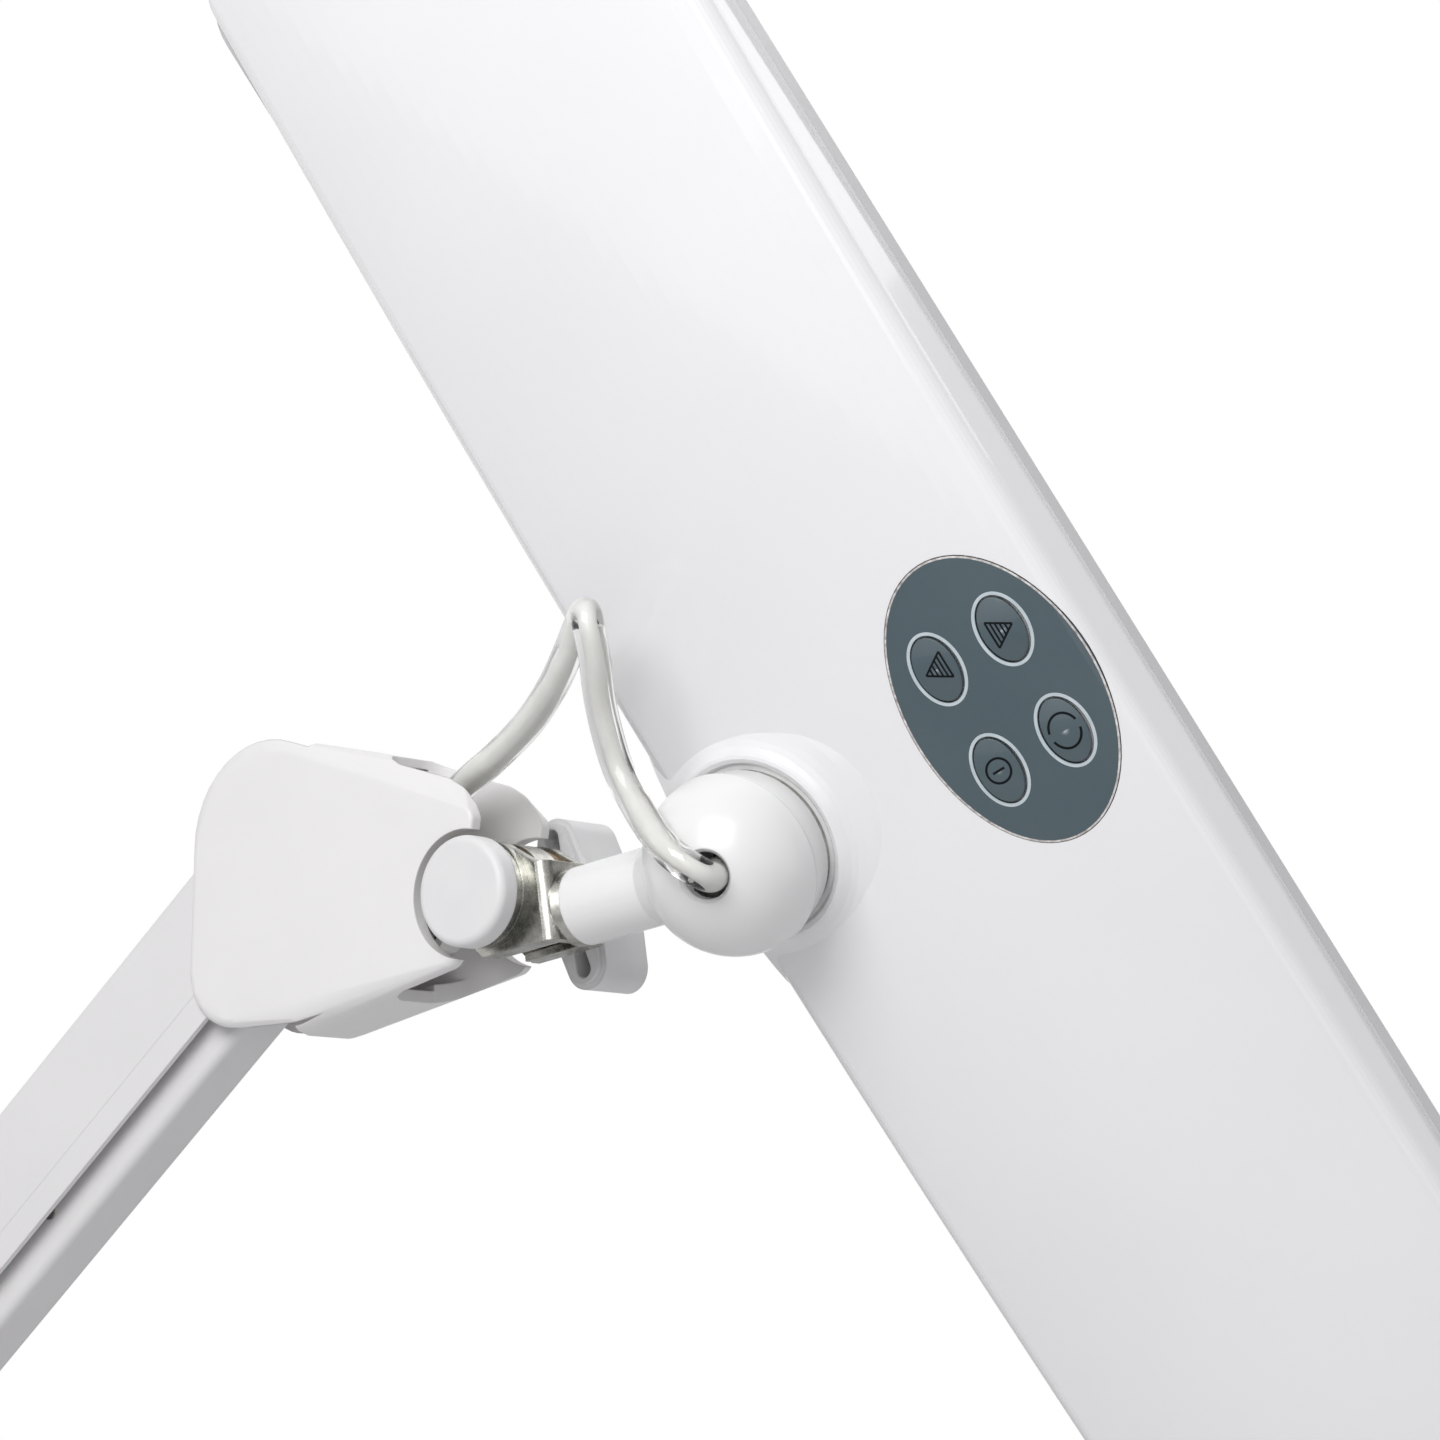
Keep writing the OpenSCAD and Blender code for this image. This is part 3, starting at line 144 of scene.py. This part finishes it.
# Colours between which a finish clouds, its roughness range, the scales of its clouds and grain,
# the strength of the grain's relief and the radius of the softened edges in millimetres
FINISHES = {
    "gloss_white": {
        "dark": (0.815, 0.813, 0.825), "light": (0.84, 0.838, 0.848), "rough": (0.16, 0.22),
        "mottle": 14, "grain": 500, "strength": 0.015, "edge": 0.2,
        "extra": {"Coat Weight": 0.7, "Coat Roughness": 0.05},
    },
    "ball_white": {
        "dark": (0.80, 0.80, 0.80), "light": (0.815, 0.815, 0.815), "rough": (0.23, 0.26),
        "mottle": 12, "grain": 120, "strength": 0.004, "edge": 0.5,
    },
    "satin_white": {
        "dark": (0.775, 0.765, 0.765), "light": (0.80, 0.79, 0.79), "rough": (0.36, 0.46),
        "mottle": 40, "grain": 1400, "strength": 0.12, "edge": 0.4,
    },
    # The bezel's grey is painted shade: a white part darkened to stand for the shade on its steep edge
    "bezel_painted_shade": {
        "dark": (0.56, 0.56, 0.57), "light": (0.60, 0.60, 0.61), "rough": (0.3, 0.38),
        "mottle": 30, "grain": 600, "strength": 0.02, "edge": 0.3,
    },
    "knob_white": {
        "dark": (0.70, 0.70, 0.71), "light": (0.75, 0.75, 0.75), "rough": (0.38, 0.48),
        "mottle": 60, "grain": 1200, "strength": 0.14, "edge": 0.6,
    },
    "arm_paint": {
        "dark": (0.725, 0.715, 0.72), "light": (0.755, 0.745, 0.75), "rough": (0.42, 0.55),
        "mottle": 25, "grain": 2200, "strength": 0.25, "edge": 0.4,
    },
    "clamp_paint": {
        "dark": (0.73, 0.73, 0.72), "light": (0.77, 0.77, 0.76), "rough": (0.42, 0.6),
        "mottle": 30, "grain": 1600, "strength": 0.45, "edge": 0.8,
    },
    # Zinc steel: the darkened, strongly speckled colour is painted reflection of dark surroundings, over
    # the metal's own uneven tone
    "zinc_steel": {
        "dark": (0.22, 0.22, 0.205), "light": (0.52, 0.515, 0.48), "rough": (0.16, 0.36),
        "mottle": 190, "grain": 700, "strength": 0.35, "edge": 0.3,
        "extra": {"Metallic": 1.0},
    },
    "spring_steel": {
        "dark": (0.30, 0.30, 0.31), "light": (0.45, 0.45, 0.46), "rough": (0.25, 0.4),
        "mottle": 120, "grain": 900, "strength": 0.2, "edge": 0.2,
        "extra": {"Metallic": 1.0},
    },
    "dark_plastic": {
        "dark": (0.018, 0.018, 0.020), "light": (0.03, 0.03, 0.032), "rough": (0.4, 0.55),
        "mottle": 80, "grain": 1500, "strength": 0.3, "edge": 0.5,
    },
    "soft_rubber": {
        "dark": (0.012, 0.012, 0.012), "light": (0.022, 0.022, 0.022), "rough": (0.7, 0.85),
        "mottle": 90, "grain": 1300, "strength": 0.5, "edge": 0.4,
    },
    "fibre": {
        "dark": (0.22, 0.15, 0.09), "light": (0.34, 0.25, 0.16), "rough": (0.6, 0.8),
        "mottle": 300, "grain": 1800, "strength": 0.4, "edge": 0.2,
    },
    "opal": {
        "dark": (0.80, 0.80, 0.78), "light": (0.86, 0.86, 0.84), "rough": (0.45, 0.55),
        "mottle": 20, "grain": 1600, "strength": 0.1, "edge": 0.3,
        "extra": {"Subsurface Weight": 0.25, "Subsurface Scale": 2 * MM},
    },
    "board": {
        "dark": (0.010, 0.075, 0.030), "light": (0.016, 0.10, 0.045), "rough": (0.3, 0.4),
        "mottle": 200, "grain": 1500, "strength": 0.1, "edge": 0.1,
    },
    "led_board": {
        "dark": (0.72, 0.72, 0.68), "light": (0.80, 0.80, 0.76), "rough": (0.3, 0.4),
        "mottle": 200, "grain": 1500, "strength": 0.1, "edge": 0.1,
    },
    "keypad_film": {
        "dark": (0.058, 0.088, 0.104), "light": (0.066, 0.098, 0.114), "rough": (0.3, 0.36),
        "mottle": 60, "grain": 1700, "strength": 0.06, "edge": 0.3,
        "extra": {"Coat Weight": 0.4, "Coat Roughness": 0.05},
    },
    "cable_core": {
        "dark": (0.80, 0.80, 0.775), "light": (0.86, 0.86, 0.84), "rough": (0.35, 0.5),
        "mottle": 150, "grain": 1200, "strength": 0.1, "edge": 0.1,
    },
    "pale_ink": {
        "dark": (0.46, 0.53, 0.57), "light": (0.56, 0.63, 0.66), "rough": (0.3, 0.4),
        "mottle": 300, "grain": 1500, "strength": 0.1, "edge": 0.05,
    },
    "dark_ink": {
        "dark": (0.004, 0.005, 0.006), "light": (0.007, 0.009, 0.011), "rough": (0.6, 0.7),
        "mottle": 300, "grain": 1500, "strength": 0.1, "edge": 0.05,
        "extra": {"Specular IOR Level": 0.08},
    },
    "foil_rim": {
        "dark": (0.30, 0.26, 0.25), "light": (0.80, 0.78, 0.76), "rough": (0.25, 0.4),
        "mottle": 900, "grain": 1500, "strength": 0.1, "edge": 0.05,
    },
    "floor": {
        "dark": (0.86, 0.86, 0.86), "light": (0.89, 0.89, 0.89), "rough": (0.75, 0.85),
        "mottle": 2, "grain": 60, "strength": 0.02, "edge": 0.1,
    },
}

JACKET_IOR = 1.42
JACKET_MOTTLE = 90
JACKET_DARK = (0.94, 0.94, 0.93)
JACKET_LIGHT = (0.98, 0.98, 0.975)
JACKET_ROUGH = (0.05, 0.12)


def noise(tree, coord, scale, detail):
    node = tree.nodes.new("ShaderNodeTexNoise")
    node.inputs["Scale"].default_value = scale
    node.inputs["Detail"].default_value = detail
    node.inputs["Roughness"].default_value = NOISE_ROUGHNESS
    tree.links.new(coord.outputs["Object"], node.inputs["Vector"])
    return node


def ramp(tree, source, dark, light):
    node = tree.nodes.new("ShaderNodeValToRGB")
    node.color_ramp.elements[0].position = NOISE_LOW
    node.color_ramp.elements[0].color = (*dark, 1)
    node.color_ramp.elements[1].position = NOISE_HIGH
    node.color_ramp.elements[1].color = (*light, 1)
    tree.links.new(source.outputs["Fac"], node.inputs["Fac"])
    return node


def spread(tree, source, low, high):
    node = tree.nodes.new("ShaderNodeMapRange")
    node.inputs["From Min"].default_value = NOISE_LOW
    node.inputs["From Max"].default_value = NOISE_HIGH
    node.inputs["To Min"].default_value = low
    node.inputs["To Max"].default_value = high
    tree.links.new(source.outputs["Fac"], node.inputs["Value"])
    return node


def start_material(name):
    mat = bpy.data.materials.new(name)
    mat.use_nodes = True
    tree = mat.node_tree
    coord = tree.nodes.new("ShaderNodeTexCoord")
    return mat, tree, tree.nodes["Principled BSDF"], coord


def make_finish(name, dark, light, rough, mottle, grain, strength, edge, extra=None):
    """A material with cloudy colour, uneven roughness, fine grain and softened edges."""
    mat, tree, shader, coord = start_material(name)
    cloud = noise(tree, coord, mottle, CLOUD_DETAIL)
    colour = ramp(tree, cloud, dark, light)
    tree.links.new(colour.outputs["Color"], shader.inputs["Base Color"])
    fine = noise(tree, coord, grain, GRAIN_DETAIL)
    gloss = spread(tree, fine, *rough)
    tree.links.new(gloss.outputs["Result"], shader.inputs["Roughness"])
    soft = tree.nodes.new("ShaderNodeBevel")
    soft.samples = BEVEL_SAMPLES
    soft.inputs["Radius"].default_value = edge * MM
    bump = tree.nodes.new("ShaderNodeBump")
    bump.inputs["Strength"].default_value = strength
    bump.inputs["Distance"].default_value = GRAIN_DEPTH
    tree.links.new(fine.outputs["Fac"], bump.inputs["Height"])
    tree.links.new(soft.outputs["Normal"], bump.inputs["Normal"])
    tree.links.new(bump.outputs["Normal"], shader.inputs["Normal"])
    for socket, value in (extra or {}).items():
        shader.inputs[socket].default_value = value
    return mat


def make_jacket(name):
    """Clear plastic, a little cloudy."""
    mat, tree, shader, coord = start_material(name)
    shader.inputs["Transmission Weight"].default_value = 1.0
    shader.inputs["IOR"].default_value = JACKET_IOR
    cloud = noise(tree, coord, JACKET_MOTTLE, CLOUD_DETAIL)
    colour = ramp(tree, cloud, JACKET_DARK, JACKET_LIGHT)
    tree.links.new(colour.outputs["Color"], shader.inputs["Base Color"])
    gloss = spread(tree, cloud, *JACKET_ROUGH)
    tree.links.new(gloss.outputs["Result"], shader.inputs["Roughness"])
    return mat


materials = {name: make_finish(name, **finish) for name, finish in FINISHES.items()}
materials["cable_jacket"] = make_jacket("cable_jacket")


def dress(obj, mat):
    if not obj.data.materials:
        obj.data.materials.append(mat)
    for place in obj.material_slots:
        place.material = mat


for part in record["subparts"]:
    dress(nodes[part["node"]], materials[part["material_slot"]])
dress(nodes["ball_stem"], materials["ball_white"])
# The bezel gets the grey that carries painted shade
dress(nodes["head_bezel"], materials["bezel_painted_shade"])


# ---- Pieces ----

WELD_GAP = 0.002 * MM
SHELL_SHADE_ANGLE = 38
TUBE_SHADE_ANGLE = 50
NORMAL_WEIGHT = 60


def add_piece(name, mesh, mat):
    obj = bpy.data.objects.new(name, mesh)
    bpy.context.scene.collection.objects.link(obj)
    dress(obj, mat)
    return obj


def finish_mesh(form, name):
    mesh = bpy.data.meshes.new(name)
    form.to_mesh(mesh)
    form.free()
    return mesh


def smooth_shade(mesh, degrees):
    for face in mesh.polygons:
        face.use_smooth = True
    mesh.set_sharp_from_angle(angle=math.radians(degrees))


def smooth_copy(node, name, body, slot):
    """A welded copy of a faceted node whose shallow facets are shaded as one surface."""
    form = bmesh.new()
    form.from_mesh(nodes[node].data)
    bmesh.ops.remove_doubles(form, verts=form.verts, dist=WELD_GAP)
    mesh = finish_mesh(form, name)
    if "custom_normal" in mesh.attributes:
        mesh.attributes.remove(mesh.attributes["custom_normal"])
    smooth_shade(mesh, SHELL_SHADE_ANGLE)
    obj = add_piece(name, mesh, materials[slot])
    weigh = obj.modifiers.new("even_normals", "WEIGHTED_NORMAL")
    weigh.keep_sharp = True
    weigh.weight = NORMAL_WEIGHT
    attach(obj, body)
    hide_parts(node)


def curve_point(p, i, f):
    """A point of the Catmull-Rom curve through points p, at share f of the way from point i to the next."""
    a = p[max(i - 1, 0)]
    b = p[i]
    c = p[i + 1]
    d = p[min(i + 2, len(p) - 1)]
    square = 2 * a - 5 * b + 4 * c - d
    cube = 3 * b - a - 3 * c + d
    return 0.5 * (2 * b + (c - a) * f + square * f * f + cube * f ** 3)


def smooth_path(points, steps):
    out = []
    for i in range(len(points) - 1):
        for k in range(steps):
            out.append(curve_point(points, i, k / steps))
    return out + [points[-1]]


def tube_mesh(name, path, radius, sides):
    """A round tube with closed ends along a path."""
    form = bmesh.new()
    rings = []
    normal = Vector((0, 1, 0))
    for i, point in enumerate(path):
        ahead = path[min(i + 1, len(path) - 1)]
        behind = path[max(i - 1, 0)]
        along = (ahead - behind).normalized()
        normal = (normal - along * normal.dot(along)).normalized()
        side = along.cross(normal)
        ring = []
        for k in range(sides):
            angle = 2 * math.pi * k / sides
            spoke = math.cos(angle) * normal + math.sin(angle) * side
            ring.append(form.verts.new(point + radius * spoke))
        rings.append(ring)
    for near, far in zip(rings, rings[1:]):
        for k in range(sides):
            m = (k + 1) % sides
            form.faces.new((near[k], near[m], far[m], far[k]))
    form.faces.new(list(reversed(rings[0])))
    form.faces.new(rings[-1])
    bmesh.ops.recalc_face_normals(form, faces=form.faces)
    mesh = finish_mesh(form, name)
    smooth_shade(mesh, TUBE_SHADE_ANGLE)
    return mesh


# ---- Head cable: a clear jacket over a pale core, from the knuckle into the ball ----

CABLE_R = 3.0
CORE_R = 1.25
CABLE_STEPS = 6
JACKET_SIDES = 28
CORE_SIDES = 20
# Points in millimetres from the tilt bolt
CABLE_ROUTE = [
    (-33, 0, 16.6), (-27, 0, 17), (-21, 0, 18.7), (-16, -0.3, 21.1), (-10.5, -2, 23.6),
    (2.2, -7.8, 27), (14.2, -13, 31.4), (25.4, -19.3, 36.3), (32.2, -23, 41), (36, -24.7, 44.9),
    (39.8, -27, 47.7), (43.2, -30, 47.8), (44.4, -30.5, 44.6), (44.1, -28.5, 39.7), (41.9, -24.8, 34.1),
    (40.8, -21.5, 28), (41.4, -18.5, 20.2), (46.2, -18.7, 12.6), (53.4, -21.8, 6.2), (59, -23.1, 2),
    (62.5, -20.8, -0.8), (62.3, -17, -1.4), (60.2, -13, -0.6), (58.2, -8.5, 0.6),
]


def from_bolt(point):
    return BOLT + Vector(point) * MM


def make_cable():
    path = smooth_path([from_bolt(p) for p in CABLE_ROUTE], CABLE_STEPS)
    jacket_mesh = tube_mesh("cable_jacket", path, CABLE_R * MM, JACKET_SIDES)
    jacket = add_piece("cable_jacket", jacket_mesh, materials["cable_jacket"])
    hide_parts("jumper_cable")
    core_mesh = tube_mesh("cable_core", path[1:-1], CORE_R * MM, CORE_SIDES)
    core = add_piece("cable_core", core_mesh, materials["cable_core"])
    for piece in (jacket, core):
        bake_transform(piece)


# ---- Keypad print ----

# Line widths and half sizes of the printed signs in millimetres
RING_OFFSET = 0.42
RING_LINE = 0.62
RIM_INSET = 0.2
RIM_LINE = 0.36
RIM_STEPS = 144
TRIANGLE_HALF_HEIGHT = 2.2
TRIANGLE_HALF_BASE = 2.7
TRIANGLE_LINE = 0.38
HATCH_COUNT = 4
HATCH_PITCH = 0.8
HATCH_LINE = 0.34
POWER_R = 2.35
POWER_BAR = 1.25
POWER_LINE = 0.44
ARC_HALF_W = 2.9
ARC_HALF_LEN = 3.4
ARC_GAP = 14
ARC_STEPS = 40
ARC_LINE = 0.46
OVAL_STEPS = 96
LINE_STEPS = 8
SAME_POINT = 1e-6


def crown_z(x, y):
    across = HEAD_H - CROWN_R + math.sqrt(CROWN_R ** 2 - x * x)
    return across - y * y / (2 * ARCH_R)


def on_panel(x, y):
    return HEAD @ (Vector((x, y, crown_z(x, y) + PANEL_PROUD + INK)) * MM)


def key_place(px, py):
    """Maps a point of a key's own plane onto the key's dome."""
    level = HEAD_H - CROWN_R + math.sqrt(CROWN_R ** 2 - px * px)
    place = HEAD @ shift(px, py, level) @ turn("Y", math.degrees(math.asin(px / CROWN_R)))

    def put(x, y):
        dome = KEY_RISE - KEY_DOME_R + math.sqrt(KEY_DOME_R ** 2 - x * x - y * y)
        return place @ (Vector((x, y, dome + INK)) * MM)

    return put


def oval_path(cx, cy, half_x, half_y, start=0, end=360, steps=OVAL_STEPS):
    out = []
    for k in range(steps + 1):
        a = math.radians(start + (end - start) * k / steps)
        out.append((cx + half_x * math.cos(a), cy + half_y * math.sin(a)))
    return out


def line_path(a, b):
    out = []
    for k in range(LINE_STEPS + 1):
        f = k / LINE_STEPS
        out.append((a[0] + (b[0] - a[0]) * f, a[1] + (b[1] - a[1]) * f))
    return out


def add_stripe(form, path, width, put):
    """A flat printed line of even width along a path on a curved face."""
    pairs = []
    last = len(path) - 1
    closed = math.dist(path[0], path[-1]) < SAME_POINT
    for i, (x, y) in enumerate(path):
        ahead = path[min(i + 1, last)] if not (closed and i == last) else path[1]
        behind = path[max(i - 1, 0)] if not (closed and i == 0) else path[last - 1]
        dx = ahead[0] - behind[0]
        dy = ahead[1] - behind[1]
        size = math.hypot(dx, dy)
        nx = -dy / size * width / 2
        ny = dx / size * width / 2
        pairs.append((form.verts.new(put(x + nx, y + ny)), form.verts.new(put(x - nx, y - ny))))
    for (a, b), (c, d) in zip(pairs, pairs[1:]):
        form.faces.new((a, b, d, c))


def print_piece(name, paths, put, finish, body):
    form = bmesh.new()
    for path, width in paths:
        add_stripe(form, path, width, put)
    bmesh.ops.recalc_face_normals(form, faces=form.faces)
    piece = add_piece(name, finish_mesh(form, name), materials[finish])
    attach(piece, body)


def triangle_paths(tip):
    """A hatched triangle whose tip points along +x or -x."""
    high = TRIANGLE_HALF_HEIGHT * tip
    base = TRIANGLE_HALF_BASE
    corners = [(high, 0), (-high, base), (-high, -base), (high, 0)]
    paths = [(line_path(a, b), TRIANGLE_LINE) for a, b in zip(corners, corners[1:])]
    for k in range(1, HATCH_COUNT + 1):
        x = -high + k * HATCH_PITCH * tip
        reach = base * (high - x) / (2 * high)
        paths.append((line_path((x, -reach), (x, reach)), HATCH_LINE))
    return paths


def power_paths():
    """A bar in a circle."""
    circle = oval_path(0, 0, POWER_R, POWER_R)
    bar = line_path((-POWER_BAR, 0), (POWER_BAR, 0))
    return [(circle, POWER_LINE), (bar, POWER_LINE)]


def colour_paths():
    """Two arcs that nearly close an oval."""
    paths = []
    for start in (ARC_GAP, 180 + ARC_GAP):
        end = start + 180 - 2 * ARC_GAP
        arc = oval_path(0, 0, ARC_HALF_W, ARC_HALF_LEN, start, end, ARC_STEPS)
        paths.append((arc, ARC_LINE))
    return paths


def make_keypad_print():
    points = [
        (KEYPAD_X + x * KEY_PITCH_W / 2, y * KEY_PITCH_LEN / 2) for y in (1, -1) for x in (-1, 1)
    ]
    ring_w = KEY_W / 2 + KEY_GAP + RING_OFFSET
    ring_len = KEY_LEN / 2 + KEY_GAP + RING_OFFSET
    rings = [(oval_path(x, y, ring_w, ring_len), RING_LINE) for x, y in points]
    print_piece("key_rings", rings, on_panel, "pale_ink", "head")
    rim = oval_path(KEYPAD_X, 0, KEYPAD_W / 2 - RIM_INSET, KEYPAD_LEN / 2 - RIM_INSET, steps=RIM_STEPS)
    print_piece("keypad_rim", [(rim, RIM_LINE)], on_panel, "foil_rim", "head")
    icons = [
        ("dimmer", triangle_paths(-1)),
        ("brighter", triangle_paths(1)),
        ("power", power_paths()),
        ("colour", colour_paths()),
    ]
    for (name, paths), (x, y) in zip(icons, points):
        print_piece(name + "_icon", paths, key_place(x, y), "dark_ink", name)


smooth_copy("head_housing", "head_knuckle_shell", "head_knuckle", "satin_white")
smooth_copy("elbow_housing", "elbow_shell", "elbow", "satin_white")
smooth_copy("base_housing", "base_shell", "base", "satin_white")
make_cable()
make_keypad_print()


# ---- Camera at the photograph's angle ----

CAMERA_FROM_BOLT = Vector((638.2, -727.64, -97.03)) * MM
CAMERA_RIGHT = Vector((0.77818, 0.62804, -0.00019))
CAMERA_UP = Vector((0.08495, -0.10496, 0.99084))
LENS_MM = 125
SENSOR_MM = 36
VIEW_DEPTH = 50


def make_camera():
    data = bpy.data.cameras.new("camera")
    data.sensor_width = SENSOR_MM
    data.lens = LENS_MM
    data.clip_end = VIEW_DEPTH
    obj = bpy.data.objects.new("camera", data)
    bpy.context.scene.collection.objects.link(obj)
    back = CAMERA_RIGHT.cross(CAMERA_UP)
    place = Matrix((CAMERA_RIGHT, CAMERA_UP, back)).transposed().to_4x4()
    obj.matrix_world = Matrix.Translation(BOLT + CAMERA_FROM_BOLT) @ place
    bpy.context.scene.camera = obj


# ---- Floor, lamps and world ----

FLOOR_HALF = 3.0
WORLD_COLOUR = (0.98, 0.975, 1.0, 1)
WORLD_STRENGTH = 0.4
BACKGROUND_COLOUR = (1, 1, 1, 1)
BACKGROUND_STRENGTH = 1.0
LAMP_AIM = Vector((0.08, 0.02, 0.02))
# Name, place from the tilt bolt in metres, width and height in metres, watts
LAMPS = [
    ("key", (0.3, -1.0, 0.6), (0.8, 0.7), 10.5),
    ("side", (0.7, -1.2, 0.3), (0.7, 0.7), 1.5),
    ("back", (0.2, 0.8, 1.2), (1.2, 0.9), 5),
]


def make_floor():
    """A plain floor at the lowest point of the part at rest."""
    low = min(v.z for v in cad_bounds)
    signs = [(-1, -1), (1, -1), (1, 1), (-1, 1)]
    mesh = bpy.data.meshes.new("floor")
    mesh.from_pydata([(x * FLOOR_HALF, y * FLOOR_HALF, low) for x, y in signs], [], [(0, 1, 2, 3)])
    obj = bpy.data.objects.new("floor", mesh)
    bpy.context.scene.collection.objects.link(obj)
    dress(obj, materials["floor"])


def make_lamp(name, place, size, watts):
    data = bpy.data.lights.new(name, "AREA")
    data.shape = "RECTANGLE"
    data.size = size[0]
    data.size_y = size[1]
    data.energy = watts
    obj = bpy.data.objects.new(name, data)
    bpy.context.scene.collection.objects.link(obj)
    obj.location = BOLT + Vector(place)
    obj.rotation_euler = (LAMP_AIM - Vector(place)).to_track_quat("-Z", "Y").to_euler()


def make_world():
    """White where a camera, transmission or glossy ray sees it, and a soft even light otherwise."""
    world = bpy.data.worlds.new("studio")
    bpy.context.scene.world = world
    world.use_nodes = True
    tree = world.node_tree
    tree.nodes.clear()
    rays = tree.nodes.new("ShaderNodeLightPath")
    seen = tree.nodes.new("ShaderNodeMath")
    seen.operation = "MAXIMUM"
    tree.links.new(rays.outputs["Is Camera Ray"], seen.inputs[0])
    tree.links.new(rays.outputs["Is Transmission Ray"], seen.inputs[1])
    both = tree.nodes.new("ShaderNodeMath")
    both.operation = "MAXIMUM"
    tree.links.new(seen.outputs[0], both.inputs[0])
    tree.links.new(rays.outputs["Is Glossy Ray"], both.inputs[1])
    light = tree.nodes.new("ShaderNodeBackground")
    light.inputs["Color"].default_value = WORLD_COLOUR
    light.inputs["Strength"].default_value = WORLD_STRENGTH
    white = tree.nodes.new("ShaderNodeBackground")
    white.inputs["Color"].default_value = BACKGROUND_COLOUR
    white.inputs["Strength"].default_value = BACKGROUND_STRENGTH
    mix = tree.nodes.new("ShaderNodeMixShader")
    out = tree.nodes.new("ShaderNodeOutputWorld")
    tree.links.new(both.outputs[0], mix.inputs["Fac"])
    tree.links.new(light.outputs[0], mix.inputs[1])
    tree.links.new(white.outputs[0], mix.inputs[2])
    tree.links.new(mix.outputs[0], out.inputs["Surface"])


make_camera()
make_floor()
make_world()
for lamp in LAMPS:
    make_lamp(*lamp)
bpy.context.scene.view_settings.view_transform = "Standard"
